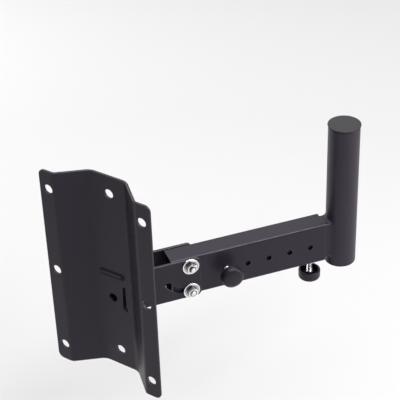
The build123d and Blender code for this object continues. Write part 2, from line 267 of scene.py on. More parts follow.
def closed_solid(name, grid, loop=False, polish=None):
    """Object of a closed surface from a grid of points.

    Without a loop, a point in the middle of the first and of the last row closes the ends. The faces are turned so
    that the volume, the sum of p0 . (p1 x p2) / 6 over their triangles, is positive. A value of painted light for
    each row, 0 for painted shade and 1 for painted highlight, is kept as an attribute."""
    rows, columns = grid.shape[:2]
    points = grid.reshape(-1, 3)
    quads = grid_faces(rows, columns, loop)
    fans = np.empty((0, 3), int)
    if not loop:
        ring = np.arange(columns)
        beside = (ring + 1) % columns
        last = (rows - 1) * columns
        first_fan = np.stack([np.full(columns, len(points)), beside, ring], -1)
        last_fan = np.stack([np.full(columns, len(points) + 1), last + ring, last + beside], -1)
        fans = np.concatenate([first_fan, last_fan])
        points = np.concatenate([points, grid[:1].mean(1), grid[-1:].mean(1)])
    triangles = np.concatenate([quads[:, [0, 1, 2]], quads[:, [0, 2, 3]], fans])
    p0, p1, p2 = (points[triangles[:, k]] for k in range(3))
    if np.sum(p0 * np.cross(p1, p2)) < 0:
        quads, fans = quads[:, ::-1], fans[:, ::-1]
    mesh = bpy.data.meshes.new(name)
    mesh.from_pydata(points.tolist(), [], quads.tolist() + fans.tolist())
    mesh.polygons.foreach_set("use_smooth", np.ones(len(mesh.polygons), bool))
    mesh.set_sharp_from_angle(angle=SHARP_ANGLE)
    if polish is not None:
        rows_painted_light = np.repeat(polish, columns)
        if not loop:
            rows_painted_light = np.concatenate([rows_painted_light, polish[:1], polish[-1:]])
        mesh.attributes.new("polish", "FLOAT", "POINT").data.foreach_set("value", rows_painted_light)
    piece = add_object(name, mesh)
    normals = piece.modifiers.new("Flat faces stay flat", "WEIGHTED_NORMAL")
    normals.keep_sharp = True
    return piece


def dress(piece, material, slot, body, *nodes):
    """Give a piece its finish and its body, and let it stand for the CAD nodes named."""
    piece.data.materials.append(bpy.data.materials[material])
    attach(piece, body)
    if nodes:
        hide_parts(*nodes)


# Forms of the hardware

def hexagon(flat):
    """Distance from the middle to a hexagon's edge at each column: flat / cos of the angle from the nearest flat."""
    return flat / np.cos((angles() + pi / 6) % (pi / 3) - pi / 6)


def chamfer_drop(radius, flat):
    """Drop of a nut's end face: nothing inside a circle a little under its flats, and 30 degrees beyond it."""
    return np.maximum(radius - CHAMFER_START * flat, 0) * CHAMFER_SLOPE


def threaded_rod(start, end, crest, pitch, groove, point):
    """Radius and height rows of a threaded rod between two heights.

    The thread is a rounded ridge that climbs one pitch each turn: r = crest - groove pitch g, where g goes from 0 on
    the ridge to 1 in the groove as a cosine, widened a little and cut off. It fades in over the first turn and ends
    in a 45 degree point."""
    height = np.linspace(start, end, int((end - start) / pitch * THREAD_ROWS))[:, None]
    phase = (height / pitch - angles()[None] / TURN) % 1
    hollow = np.clip(GROOVE_WIDENED * (1 + np.cos(TURN * phase)) / 2 - GROOVE_CUT, 0, 1)
    fade = np.clip((height - start) / pitch, 0, 1)
    ridge = crest - groove * pitch * hollow * fade
    cone = crest - np.maximum(height - (end - point), 0)
    return np.minimum(ridge, cone), np.repeat(height, COLUMNS, 1)


def bolt_grid(node, place, sizes):
    """Hexagon bolt, with its painted light: chamfered head, plain shank and thread, from its head's end to its tip.
    """
    low, tip = span(node, place, NUTWARDS)
    seat = low + sizes.head_height
    flat = radius_of(node, place, NUTWARDS) * cos(pi / 6)
    crest = sizes.bolt_diameter / 2
    rim = hexagon(flat)[None]
    wide = np.ones_like(rim)
    face = np.linspace(NEAR_AXIS, 1, HEAD_ROWS)[:, None] * rim
    rod = threaded_rod(
        tip - sizes.bolt_thread, tip, crest, sizes.bolt_pitch, sizes.bolt_groove, sizes.bolt_point)
    rows = [
        (face, low + chamfer_drop(face, flat)),
        (rim, (seat - sizes.head_break) * wide),
        (HEAD_FOOT * rim, seat * wide),
        (crest * wide, seat * wide),
        (crest * wide, (seat + MM) * wide),
        rod,
    ]
    radius, height = (np.concatenate(column) for column in zip(*rows))
    row_height = height.mean(1)
    # Painted highlight towards the tip and on the head, painted shade along the rest of the thread
    polish = np.interp(row_height - tip, *TIP_PAINTED_LIGHT)
    polish[row_height < seat] = HEAD_PAINTED_LIGHT
    return turned(radius, height, place, NUTWARDS), polish


def nut_grid(node, place, axis, bore, pitch):
    """Hexagon nut, with its painted light: both end faces drop 30 degrees to the corners, and the bore is
    countersunk.
    """
    low, high = span(node, place, axis)
    flat = radius_of(node, place, axis) * cos(pi / 6)
    sink = pitch / 2
    mouth = bore + sink
    share = np.linspace(0, 1, NUT_ROWS)
    face = mouth + share[:, None] * (hexagon(flat)[None] - mouth)
    drop = chamfer_drop(face, flat)
    bore_height = np.repeat([[high - sink], [low + sink]], COLUMNS, 1)
    radius = np.concatenate([face, face[::-1], np.full_like(bore_height, bore)])
    height = np.concatenate([low + drop, high - drop[::-1], bore_height])
    polish = np.concatenate([NUT_SEAT_PAINTED_LIGHT * share, np.interp(share[::-1], *NUT_PAINTED_LIGHT), [0, 0]])
    return turned(radius, height, place, axis), polish


def washer_grid(node, place, axis, sizes):
    """Stamped washer, with its painted light: square at its bore, dished a little and rolled over at its outer edge.
    """
    low, high = span(node, place, axis)
    rim = radius_of(node, place, axis)
    bore = sizes.washer_bore / 2
    band = rim - sizes.washer_band
    dish = band - sizes.washer_slope
    sunk = high - sizes.washer_dish
    burr, edge, bend = np.array([0.15, 0.2, 0.3]) * MM
    section = rounded([
        (bore, low, burr), (rim, low, edge), (rim, high, sizes.washer_roll),
        (band, high, bend), (dish, sunk, bend), (bore, sunk, edge),
    ])
    polish = np.interp(rim - section[:, 0], *WASHER_PAINTED_LIGHT)
    return turned_section(section, place, axis), polish


def screw_grid(node, place, axis, sizes):
    """Knob's screw, with its painted light: a thread all along, to a point at the end that the axis points to."""
    low, tip = span(node, place, axis)
    radius, height = threaded_rod(
        low, tip, sizes.screw_diameter / 2, sizes.screw_pitch, sizes.screw_groove, sizes.screw_point)
    return turned(radius, height, place, axis), np.full(len(radius), SCREW_PAINTED_LIGHT)


def domed(reach, foot, top, squareness):
    """Section of a dome: r = reach sin(t)^(2/n) and h = foot + (top - foot) cos(t)^(2/n), a superellipse."""
    t = np.linspace(NEAR_AXIS, pi / 2, DOME_ROWS)
    power = 2 / squareness
    return np.stack([reach * np.sin(t) ** power, foot + (top - foot) * np.abs(np.cos(t)) ** power], 1)


def knob_grid(node, place, axis, skirt, sizes):
    """Cup knob: a domed face, a straight side, a round rim, and a hollow with a hub inside."""
    rim = radius_of(node, place, axis)
    top = span(node, place, axis)[1]
    foot = top - sizes.knob_shoulder
    inside = rim - sizes.knob_wall
    hollow = sizes.knob_hollow
    hub = sizes.knob_hub / 2
    bore = sizes.screw_diameter / 2
    mouth = -skirt
    hub_end = mouth + sizes.knob_hub_drop
    mouth_edge, hollow_bend, hub_bend, hub_edge, bore_edge = np.array([0.5, 1.0, 0.8, 0.5, 0.3]) * MM
    cup = rounded([
        (rim, foot, SHARP), (rim, mouth, sizes.knob_rim), (inside, mouth, mouth_edge), (inside, hollow, hollow_bend),
        (hub, hollow, hub_bend), (hub, hub_end, hub_edge), (bore, hub_end, bore_edge),
        (bore, hollow, SHARP), (NEAR_AXIS * bore, hollow, SHARP),
    ], rows=13)
    section = np.concatenate([domed(rim, foot, top, sizes.knob_squareness)[:-1], cup])
    return turned_section(section, place, axis)


def bore_grid(place, axis, sizes):
    """Bore lining that paints shade in the hole: a thin cup turned from a floor at a depth, up the hole's wall and
    back down inside it.
    """
    radius, depth, wall = sizes.hole / 2, sizes.hole_depth, sizes.hole_lining
    inner, floor, middle_radius = radius - wall, wall - depth, NEAR_AXIS * radius
    corners = [
        (middle_radius, -depth), (radius, -depth), (radius, 0), (inner, 0), (inner, floor), (middle_radius, floor),
    ]
    return turned_section(rounded([(*corner, SHARP) for corner in corners]), place, axis)


# Forms of the pole and the welds

def pole_grid(sizes):
    """Round tube with its cut edges broken, and rounded at its upper end."""
    place = middle("speaker_pole")
    low, high = span("speaker_pole", place, UP)
    rim = radius_of("speaker_pole", place, UP)
    bore = rim - sizes.pole_wall
    foot_edge, bore_edge = np.array([0.45, 0.05]) * MM
    section = rounded([
        (bore, low, foot_edge), (rim, low, foot_edge), (rim, high, sizes.pole_edge), (bore, high, bore_edge),
    ])
    return turned_section(section, place, UP)


def crowned(reach, top, fall):
    """Section of a face that falls off towards its edge: h = top - fall (r / reach)^5."""
    share = np.linspace(NEAR_AXIS, 1, CROWN_ROWS)
    return np.stack([share * reach, top - fall * share ** 5], 1)


def cap_grid(sizes):
    """Cap with a crowned flange a little wider than the pole, and a hollow plug in its bore."""
    place = middle("speaker_pole")
    foot, top = span("pole_cap", place, UP)
    seat = span("speaker_pole", place, UP)[1]
    pole = radius_of("speaker_pole", place, UP)
    lip = seat + sizes.cap_seam
    rim = pole + sizes.cap_lip
    plug = pole - sizes.pole_wall - sizes.plug_play
    bore = plug - sizes.cap_wall
    brow = rim - sizes.cap_edge
    brow_top = top - sizes.cap_crown
    lip_edge, plug_bend, plug_edge, bore_edge, bore_bend = np.array([0.25, 0.2, 0.4, 0.3, 0.5]) * MM
    flange = rounded([
        (brow, brow_top, SHARP), (rim, brow_top, sizes.cap_edge), (rim, lip, lip_edge), (plug, lip, plug_bend),
        (plug, foot, plug_edge), (bore, foot, bore_edge), (bore, seat, bore_bend), (NEAR_AXIS * rim, seat, 0),
    ], rows=9)
    section = np.concatenate([crowned(brow, top, sizes.cap_crown)[:-1], flange])
    return turned_section(section, place, UP)


def ripple(length, sizes):
    """Swell of a weld bead along its length: overlapping scales, one each ripple pitch."""
    return 1 + sizes.ripple_depth * (np.abs(np.sin(pi * length / sizes.ripple_pitch)) - RIPPLE_MEAN)


def straight_bead(start, end, outward, radius, sizes):
    """Weld bead between two points, rippled along its length and rounded off at both ends.

    Its radius follows sqrt(1 - (1 - d)^2) over the last radius before an end, where d is the distance from it."""
    share = np.linspace(0, 1, BEAD_ROWS)[:, None]
    path = start + share * (end - start)
    length = np.linalg.norm(end - start) * share[:, 0]
    from_end = np.minimum(length, length[-1] - length) / radius
    taper = np.sqrt(np.clip(1 - (1 - np.minimum(from_end, 1)) ** 2, THIN_END, 1))
    ahead = unit(end - start)
    normal = unit(outward - (outward @ ahead) * ahead)
    ring = [np.broadcast_to(v, path.shape) for v in (normal, np.cross(ahead, normal))]
    return ringed(path, *ring, radius * taper * ripple(length, sizes))


def even_outline(outline, sizes):
    """Points (x, y) evenly along a closed outline, its outward normals there, and the swell of the ripples.

    A whole number of ripples runs round the outline, so that they meet at its start."""
    around = np.concatenate([outline, outline[:1]])
    length = np.concatenate([[0], np.cumsum(np.linalg.norm(np.diff(around, axis=0), axis=1))])
    ripples = round(length[-1] / sizes.ripple_pitch)
    share = np.linspace(0, 1, RIPPLE_ROWS * ripples, endpoint=False)
    points = np.stack([np.interp(share * length[-1], length, around[:, k]) for k in (0, 1)], 1)
    ahead = unit(np.roll(points, -1, 0) - np.roll(points, 1, 0))
    normals = np.stack([ahead[:, 1], -ahead[:, 0]], 1)
    return points, normals, ripple(share * ripples * sizes.ripple_pitch, sizes)


def tab_bead(sizes):
    """Weld bead round the cross plate's tab: rings in the plane of the web's outline normal and X."""
    low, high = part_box("cross_plate")
    above, below = high.z + sizes.tab_gap, low.z - sizes.tab_gap
    corners = [(y, z, sizes.tab_turn) for y, z in (
        (sizes.tab_left, above), (sizes.tab_right, above), (sizes.tab_right, below), (sizes.tab_left, below))]
    points, normals, swell = even_outline(rounded(corners, rows=10), sizes)
    path = np.insert(points, 0, low.x + sizes.tab_sink, 1)
    outward = np.insert(normals, 0, 0, 1)
    return ringed(path, outward, np.broadcast_to(ROOMWARDS, path.shape), sizes.tab_bead * swell)


def on_pole(place, radius, points, depth):
    """Points on the pole's arm side, a depth below its face.

    A point (q, z) lies q across the arm, z up, and sqrt(R^2 - q^2) from the pole's axis."""
    q, z = points[:, :1], points[:, 1:]
    return place + q * SIDE + z * UP - (np.sqrt(radius ** 2 - q ** 2) - depth) * ALONG


def saddle_fillet(sizes):
    """Hollow weld fillet round the inner tube where it meets the pole.

    At each point of the tube's rounded outline with outward normal n, the corner lies on the pole. The section is
    bent from a leg back on the tube, by way of the corner, to a leg outward on the pole; a point inside both closes
    it. The leg swells with the ripples."""
    place = middle("speaker_pole")
    radius = radius_of("speaker_pole", place, UP)
    half_width = span("inner_tube", place, SIDE)[1]
    low, high = span("inner_tube", place, UP)
    corners = [(q, z, sizes.saddle_turn) for q, z in (
        (-half_width, low), (half_width, low), (half_width, high), (-half_width, high))]
    points, normals, swell = even_outline(rounded(corners, rows=12), sizes)
    leg = (sizes.saddle_leg * swell)[:, None]
    sunk, backing = 0.12 * MM, MM
    normal = normals[:, :1] * SIDE + normals[:, 1:] * UP
    corner = on_pole(place, radius, points, 0)
    start = corner - leg * ALONG - sunk * normal
    end = on_pole(place, radius, points + leg * normals, sunk)
    inside = corner + backing * (ALONG - normal)
    return np.concatenate([bent(start, corner, end, FILLET_ROWS), inside[:, None]], 1)


def cheek_foot(node, face, rise):
    """Point where a cheek's face, given by its sign along SIDE, meets the web, at a height."""
    points = node_points(node)
    face_distance = (points @ SIDE) * face
    on_face = points[face_distance > face_distance.max() - FACE_TOLERANCE]
    on_face = on_face[on_face[:, 2] > points[:, 2].mean()]
    foot = on_face[np.argmin(on_face @ ALONG)]
    return np.array([foot[0], foot[1], rise])


# Sizes and colours that a user would change

def number_prop(name, description, number, **kind):
    """Property that holds a number, with its unit or subtype where one fits."""
    return FloatProperty(name=name, description=description, default=number, **kind)


def length_prop(name, description, millimetres):
    """Property that holds a length."""
    return number_prop(name, description, millimetres * MM, unit="LENGTH")


def colour_prop(name, description, colour):
    """Property that holds a colour."""
    return FloatVectorProperty(name=name, description=description, default=colour, subtype="COLOR")


class HardwareSizes(PropertyGroup):
    """Sizes of bolts, nuts, washers, screws and knobs."""
    bolt_diameter: length_prop("Bolt Diameter", "Diameter over the bolts' threads", 6)
    bolt_pitch: length_prop("Bolt Pitch", "Rise of the bolts' thread in one turn", 1)
    bolt_groove: number_prop(
        "Bolt Groove", "Depth of the bolts' thread, as a share of its pitch", 0.6, subtype="FACTOR")
    bolt_thread: length_prop("Bolt Thread", "Threaded length of the bolts", 18)
    bolt_point: length_prop("Bolt Point", "Length of the bolts' pointed ends", 0.8)
    head_height: length_prop("Head Height", "Height of the bolts' heads", 4)
    head_break: length_prop("Head Break", "Height of the bevel at a head's foot", 0.25)
    screw_diameter: length_prop("Screw Diameter", "Diameter over the knob screws' threads", 6)
    screw_pitch: length_prop("Screw Pitch", "Rise of the knob screws' thread in one turn", 1)
    screw_groove: number_prop(
        "Screw Groove", "Depth of the knob screws' thread, as a share of its pitch", 0.36, subtype="FACTOR")
    screw_point: length_prop("Screw Point", "Length of the knob screws' pointed ends", 0.7)
    thread_play: length_prop("Thread Play", "Gap between a thread and its nut", 0.06)
    washer_bore: length_prop("Washer Bore", "Diameter of the washers' holes", 6.5)
    washer_roll: length_prop("Washer Roll", "Rounding of the washers' outer edge", 0.7)
    washer_band: length_prop("Washer Band", "Width of the washers' raised edge", 1.6)
    washer_slope: length_prop("Washer Slope", "Width of the slope inside the raised edge", 0.8)
    washer_dish: length_prop("Washer Dish", "Depth of the washers' faces", 0.25)
    hole: length_prop("Lock Hole", "Diameter of the holes along the arm", 6.6)
    hole_pitch: length_prop("Hole Pitch", "Distance between the holes along the arm", 25)
    hole_depth: length_prop("Hole Depth", "Depth of the holes' dark bores", 2.1)
    hole_sink: length_prop("Hole Sink", "Depth of the bores' mouths below the tube's face", 0.05)
    hole_lining: length_prop("Hole Lining", "Thickness of the dark bores", 0.12)
    knob_shoulder: length_prop("Knob Shoulder", "Drop from a knob's face to its straight side", 5.4)
    knob_squareness: number_prop("Knob Squareness", "2 makes a knob's face round, more makes it flatter", 2.7)
    knob_rim: length_prop("Knob Rim", "Rounding of a knob's outer rim", 1.3)
    knob_wall: length_prop("Knob Wall", "Thickness of a knob's cup", 2.2)
    knob_hollow: length_prop("Knob Hollow", "Depth of a knob's cup", 7)
    knob_hub: length_prop("Knob Hub", "Diameter of the hub that holds the screw", 9)
    knob_hub_drop: length_prop("Hub Drop", "Depth of the hub's end below the rim", 2.9)
    lock_skirt: length_prop("Lock Skirt", "How far the lock knob's rim reaches past the plain model's", -0.1)
    clamp_skirt: length_prop("Clamp Skirt", "How far the clamp knob's rim reaches past the plain model's", 2.2)


class PoleSizes(PropertyGroup):
    """Sizes of the pole, its cap and the weld beads."""
    pole_wall: length_prop("Pole Wall", "Thickness of the pole's tube", 2)
    pole_edge: length_prop("Pole Edge", "Rounding of the pole's upper end", 1.9)
    cap_wall: length_prop("Plug Wall", "Thickness of the cap's plug", 2.5)
    cap_edge: length_prop("Cap Edge", "Rounding of the cap's top edge", 0.7)
    cap_crown: length_prop("Cap Crown", "Fall of the cap's face towards its edge", 1.1)
    cap_lip: length_prop("Cap Lip", "How far the cap's edge stands out from the pole", 0.7)
    cap_seam: length_prop("Cap Seam", "Gap between the cap's edge and the pole", 0.15)
    plug_play: length_prop("Plug Play", "Gap between the cap's plug and the pole's bore", 0.1)
    saddle_leg: length_prop("Saddle Leg", "Width of the weld fillet on tube and pole", 5)
    saddle_turn: length_prop("Saddle Turn", "Rounding of the fillet's path at the tube's corners", 2.4)
    tab_bead: length_prop("Tab Bead", "Radius of the bead round the cross plate's tab", 1.5)
    tab_left: length_prop("Tab Left", "Where the tab's bead ends on the left", 18.3)
    tab_right: length_prop("Tab Right", "Where the tab's bead ends on the right", -10.1)
    tab_gap: length_prop("Tab Gap", "Distance of the bead's middle from the tab", 0.9)
    tab_turn: length_prop("Tab Turn", "Rounding of the bead's path at the tab's corners", 1.6)
    tab_sink: length_prop("Tab Sink", "Depth of the bead's middle below the tab's end", 1)
    cheek_bead: length_prop("Cheek Bead", "Radius of the beads between cheeks and web", 2.2)
    cheek_bead_inset: length_prop("Cheek Bead Inset", "How far these beads stop short of a cheek's ends", 3)
    ripple_pitch: length_prop("Ripple Pitch", "Distance between a bead's ripples", 1.8)
    ripple_depth: number_prop(
        "Ripple Depth", "Swell of a bead's ripples, as a share of its radius", 0.1, subtype="FACTOR")


class FinishColours(PropertyGroup):
    """Colours of the finishes."""
    coat: colour_prop("Powder Coat", "Black powder coat on the steel", (0.0155, 0.0120, 0.0200))
    # Painted light: paler than the powder coat, for light on the pole
    pole: colour_prop("Pole Coat", "Smoother black coat on the pole", (0.023, 0.0185, 0.028))
    # Painted shade: near-black colour of the bores' linings
    scale: colour_prop("Dull Scale", "Dull scale in bores that the coat hardly reaches", (0.005, 0.0042, 0.006))
    zinc: colour_prop("Zinc", "Bright zinc plate on the hardware", (0.86, 0.855, 0.875))
    knob: colour_prop("Knob Plastic", "Moulded plastic of the knobs", (0.0105, 0.0083, 0.0130))
    cap: colour_prop("Cap Plastic", "Moulded plastic of the pole's cap", (0.0265, 0.0242, 0.0285))


class StageSettings(PropertyGroup):
    """Camera, floor and light."""
    azimuth: number_prop("Azimuth", "Direction that the camera looks from", radians(-55.39), unit="ROTATION")
    elevation: number_prop("Elevation", "Height of the camera above the horizon", radians(33.68), unit="ROTATION")
    roll: number_prop("Roll", "Turn of the camera about its view", radians(-2.03), unit="ROTATION")
    distance: length_prop("Distance", "Depth of the wall-hole centre in front of the camera", 1401)
    aim: FloatVectorProperty(
        name="Aim", description="Place of the wall-hole centre right of and below the view's middle", size=2,
        default=(-0.1041, 0.0915), unit="LENGTH")
    lens: number_prop("Lens", "Focal length of the camera, in millimetres", 120.0)
    floor_drop: length_prop("Floor Drop", "Gap between the plate's lower end and the floor", 160)
    floor_colour: colour_prop("Floor", "Colour of the floor", (0.62, 0.615, 0.62))
    far_colour: colour_prop("Far Floor", "Colour of the floor far out", (0.93, 0.925, 0.93))
    near_floor: length_prop("Near Floor Reach", "Where the floor starts to turn paler", 900)
    far_floor: length_prop("Far Floor Reach", "Where the floor is palest", 3200)
    world_strength: number_prop("World Light", "Strength of the light all round", 0.4)
    key_power: number_prop("Key Lamp", "Power of the lamp overhead", 26.0, unit="POWER")
    side_power: number_prop("Side Lamp", "Power of the lamp at the right", 12.5, unit="POWER")
    left_power: number_prop("Left Lamp", "Power of the lamp at the left", 13.0, unit="POWER")
    back_power: number_prop("Back Lamp", "Power of the broad lamp beyond the pole", 4.5, unit="POWER")
    strip_power: number_prop("Strip Lamp", "Power of the narrow lamp over the arm's near edge", 8.0, unit="POWER")


# Finishes

def feed(tree, node, values):
    """Fill a node's sockets, named or numbered: each with a link from another node's socket, or with a value."""
    for key, value in values.items():
        socket = node.inputs[key.replace("_", " ") if isinstance(key, str) else key]
        if isinstance(value, NodeSocket):
            tree.links.new(value, socket)
        else:
            socket.default_value = value


def add_node(tree, kind, place, *values, operation=None, **named):
    """Node of a kind in a tree, with its sockets filled in order and by name."""
    node = tree.nodes.new(kind)
    node.location = place
    if operation:
        node.operation = operation
    feed(tree, node, {**dict(enumerate(values)), **named})
    return node


def calculate(tree, operation, place, *values):
    """Output of a Math node."""
    return add_node(tree, "ShaderNodeMath", place, *values, operation=operation).outputs[0]


def blend(tree, place, factor, first, second):
    """Colour that goes from a first one to a second one with a factor."""
    node = tree.nodes.new("ShaderNodeMix")
    node.data_type = "RGBA"
    node.location = place
    feed(tree, node, {"Factor": factor, "A": first, "B": second})
    return node.outputs["Result"]


def new_group(name, inputs, outputs):
    """Shader node group with its sockets, and its input sockets by name and its output node."""
    group = bpy.data.node_groups.new(name, "ShaderNodeTree")
    for label, kind, default in inputs:
        group.interface.new_socket(label, in_out="INPUT", socket_type=kind).default_value = default
    for label, kind in outputs:
        group.interface.new_socket(label, in_out="OUTPUT", socket_type=kind)
    entry = add_node(group, "NodeGroupInput", (-900, 0))
    leave = add_node(group, "NodeGroupOutput", (700, 0))
    return group, entry.outputs, leave


def place_group(tree, name, place, **values):
    """A group's node in a material, with its values."""
    node = tree.nodes.new("ShaderNodeGroup")
    node.node_tree = bpy.data.node_groups[name]
    node.location = place
    feed(tree, node, values)
    return node


def mottled_group():
    """Group: slow change of tone and gloss over a surface, and a fine skin of bumps, all in Object coordinates."""
    group, entry, leave = new_group(
        "Mottled Skin",
        [("Color", "NodeSocketColor", (0.5, 0.5, 0.5, 1)), ("Tone", "NodeSocketFloat", 0.1),
         ("Roughness", "NodeSocketFloat", 0.45), ("Roughness Change", "NodeSocketFloat", 0.08),
         ("Patch Scale", "NodeSocketFloat", 20.0), ("Skin Scale", "NodeSocketFloat", 900.0)],
        [("Color", "NodeSocketColor"), ("Roughness", "NodeSocketFloat"), ("Height", "NodeSocketFloat")])
    where = add_node(group, "ShaderNodeTexCoord", (-900, 300)).outputs["Object"]
    patch = add_node(
        group, "ShaderNodeTexNoise", (-600, 300), Vector=where, Scale=entry["Patch Scale"], Detail=3.0,
        Roughness=0.55)
    skin = add_node(
        group, "ShaderNodeTexNoise", (-600, 0), Vector=where, Scale=entry["Skin Scale"], Detail=2.0, Roughness=0.5)
    centred = calculate(group, "SUBTRACT", (-380, 300), patch.outputs["Fac"], 0.5)
    tone = calculate(group, "MULTIPLY_ADD", (-200, 300), centred, entry["Tone"], 1.0)
    colour = add_node(group, "ShaderNodeVectorMath", (0, 300), entry["Color"], operation="SCALE", Scale=tone)
    gloss = calculate(group, "MULTIPLY_ADD", (0, 100), centred, entry["Roughness Change"], entry["Roughness"])
    feed(group, leave, {"Color": colour.outputs[0], "Roughness": gloss, "Height": skin.outputs["Fac"]})


def painted_edge_group():
    """Group: mask of the edges where a colour is painted, broken up by noise: a paler colour paints highlights
    there, a darker one paints shade.

    Sharp edges show by how far a rounded normal leans from the true one, and rounded brows, lit from above, by a
    normal that stands halfway between up and level, in the piece's own frame."""
    group, entry, leave = new_group(
        "Rubbed Edge",
        [("Radius", "NodeSocketFloat", 0.0006), ("Amount", "NodeSocketFloat", 1.0),
         ("Brow", "NodeSocketFloat", 0.0)],
        [("Mask", "NodeSocketFloat")])
    bevel = add_node(group, "ShaderNodeBevel", (-600, 200), Radius=entry["Radius"])
    bevel.samples = 6
    true_normal = add_node(group, "ShaderNodeNewGeometry", (-600, 0)).outputs["Normal"]
    lean = add_node(
        group, "ShaderNodeVectorMath", (-380, 100), bevel.outputs[0], true_normal, operation="DOT_PRODUCT")
    edge = add_node(
        group, "ShaderNodeMapRange", (-180, 100), Value=lean.outputs["Value"], From_Min=0.985, From_Max=0.80)
    where = add_node(group, "ShaderNodeTexCoord", (-900, -200))
    parts = add_node(group, "ShaderNodeSeparateXYZ", (-720, -350), where.outputs["Normal"])
    halfway, give = 0.72, 0.11
    brow = calculate(group, "COMPARE", (-540, -350), parts.outputs["Z"], halfway, give)
    brow = calculate(group, "MULTIPLY", (-360, -350), brow, entry["Brow"])
    either = calculate(group, "MAXIMUM", (-80, -120), edge.outputs["Result"], brow)
    patches = add_node(
        group, "ShaderNodeTexNoise", (-380, -200), Vector=where.outputs["Object"], Scale=160.0, Detail=3.0)
    broken = calculate(group, "MULTIPLY", (20, 0), either, patches.outputs["Fac"])
    mask = calculate(group, "MULTIPLY", (220, 0), broken, entry["Amount"])
    mask.node.use_clamp = True
    feed(group, leave, {"Mask": mask})


def new_material(name):
    """Material with its node tree and its surface shader."""
    material = bpy.data.materials.new(name)
    material.use_nodes = True
    return material, material.node_tree, material.node_tree.nodes["Principled BSDF"]


def skinned_material(name, colour, painted_edge_colour, skin, bump, edge, shader):
    """Material of a mottled, finely bumped surface whose edges take another colour, which paints a highlight or
    shade there.
    """
    material, tree, surface = new_material(name)
    mottled = place_group(tree, "Mottled Skin", (-700, 200), Color=(*colour, 1), **skin).outputs
    edge_paint = place_group(tree, "Rubbed Edge", (-700, -200), **edge).outputs
    relief = add_node(tree, "ShaderNodeBump", (-350, -300), Height=mottled["Height"], **bump)
    feed(tree, surface, {
        "Base Color": blend(tree, (-350, 200), edge_paint["Mask"], mottled["Color"], (*painted_edge_colour, 1)),
        "Roughness": mottled["Roughness"],
        "Normal": relief.outputs["Normal"],
        **shader,
    })
    return material


def coat_material(name, colour, gloss, edge_highlight, brow):
    """Satin powder coat: orange-peel skin, slow change of gloss, and painted highlights that make sharp edges and
    rounded brows a little paler.
    """
    return skinned_material(
        name, colour, COAT_EDGE_HIGHLIGHT,
        dict(Tone=0.35, Roughness=0.42, Roughness_Change=0.12, Patch_Scale=26.0, Skin_Scale=1100.0),
        dict(Strength=0.22, Distance=0.12 * MM), dict(Radius=0.9 * MM, Amount=edge_highlight, Brow=brow),
        {"IOR": 1.5, "Specular IOR Level": gloss, "Specular Tint": BLACK_TINT})


def knob_material(colour):
    """Moulded knob plastic with a fine spark texture, and painted highlights along its edges."""
    return skinned_material(
        "Knob Plastic", colour, KNOB_EDGE_HIGHLIGHT,
        dict(Tone=0.3, Roughness=0.38, Roughness_Change=0.1, Patch_Scale=60.0, Skin_Scale=2600.0),
        dict(Strength=0.18, Distance=0.06 * MM), dict(Radius=0.5 * MM, Amount=0.6),
        {"IOR": 1.48, "Specular IOR Level": 0.38, "Specular Tint": BLACK_TINT})


def cap_material(colour):
    """Moulded cap plastic with a grained face, darker along its edge as painted shade."""
    return skinned_material(
        "Cap Plastic", colour, CAP_EDGE_SHADE,
        dict(Tone=0.25, Roughness=0.6, Roughness_Change=0.1, Patch_Scale=40.0, Skin_Scale=1500.0),
        dict(Strength=0.35, Distance=0.1 * MM), dict(Radius=1.4 * MM, Amount=2.0),
        {"IOR": 1.46, "Specular IOR Level": 0.36})


def zinc_material(colour):
    """Bright zinc plate: patchy gloss and faint tool marks, with painted highlights on edges and rims and painted
    shade in hollows.
    """
    material = skinned_material(
        "Zinc Plate", colour, ZINC_EDGE_HIGHLIGHT,
        dict(Tone=0.5, Roughness=0.2, Roughness_Change=0.2, Patch_Scale=140.0, Skin_Scale=2200.0),
        dict(Strength=0.15, Distance=0.04 * MM), dict(Radius=0.4 * MM, Amount=1.0), {"Metallic": 1.0})
    tree = material.node_tree
    base = tree.nodes["Principled BSDF"].inputs["Base Color"]
    # The painted light attribute mixes painted shade into the clean zinc
    polish = add_node(tree, "ShaderNodeAttribute", (-350, 500))
    polish.attribute_name = "polish"
    clean = base.links[0].from_socket
    tree.links.new(blend(tree, (-120, 400), polish.outputs["Fac"], ZINC_HOLLOW_SHADE, clean), base)
    return material


def floor_material(settings):
    """Plain pale floor, a little paler far out, where less light reaches it."""
    material, tree, surface = new_material("Floor")
    where = add_node(tree, "ShaderNodeTexCoord", (-900, 0)).outputs["Object"]
    distance = add_node(tree, "ShaderNodeVectorMath", (-700, 0), where, operation="LENGTH").outputs["Value"]
    far = add_node(
        tree, "ShaderNodeMapRange", (-500, 0), Value=distance, From_Min=settings.near_floor,
        From_Max=settings.far_floor)
    colour = blend(
        tree, (-250, 0), far.outputs["Result"], (*settings.floor_colour, 1), (*settings.far_colour, 1))
    feed(tree, surface, {"Base Color": colour, "Roughness": 0.9, "Specular IOR Level": 0.2})
    return material


# One operator for each piece or group of like pieces

class BRACKET_OT_finishes(Operator):
    """Make the finishes and put the powder coat on the pressed and welded steel"""
    bl_idname = "bracket.finishes"
    bl_label = "Finishes"

    def execute(self, context):
        colours = context.scene.bracket_colours
        mottled_group()
        painted_edge_group()
        for name, (colour, gloss, edge_highlight, brow) in COATS.items():
            coat_material(name, getattr(colours, colour), gloss, edge_highlight, brow)
        zinc_material(colours.zinc)
        knob_material(colours.knob)
        cap_material(colours.cap)
        for node in COATED:
            for slot in frame["nodes"][node].material_slots:
                slot.material = bpy.data.materials["Powder Coat"]
        return {"FINISHED"}


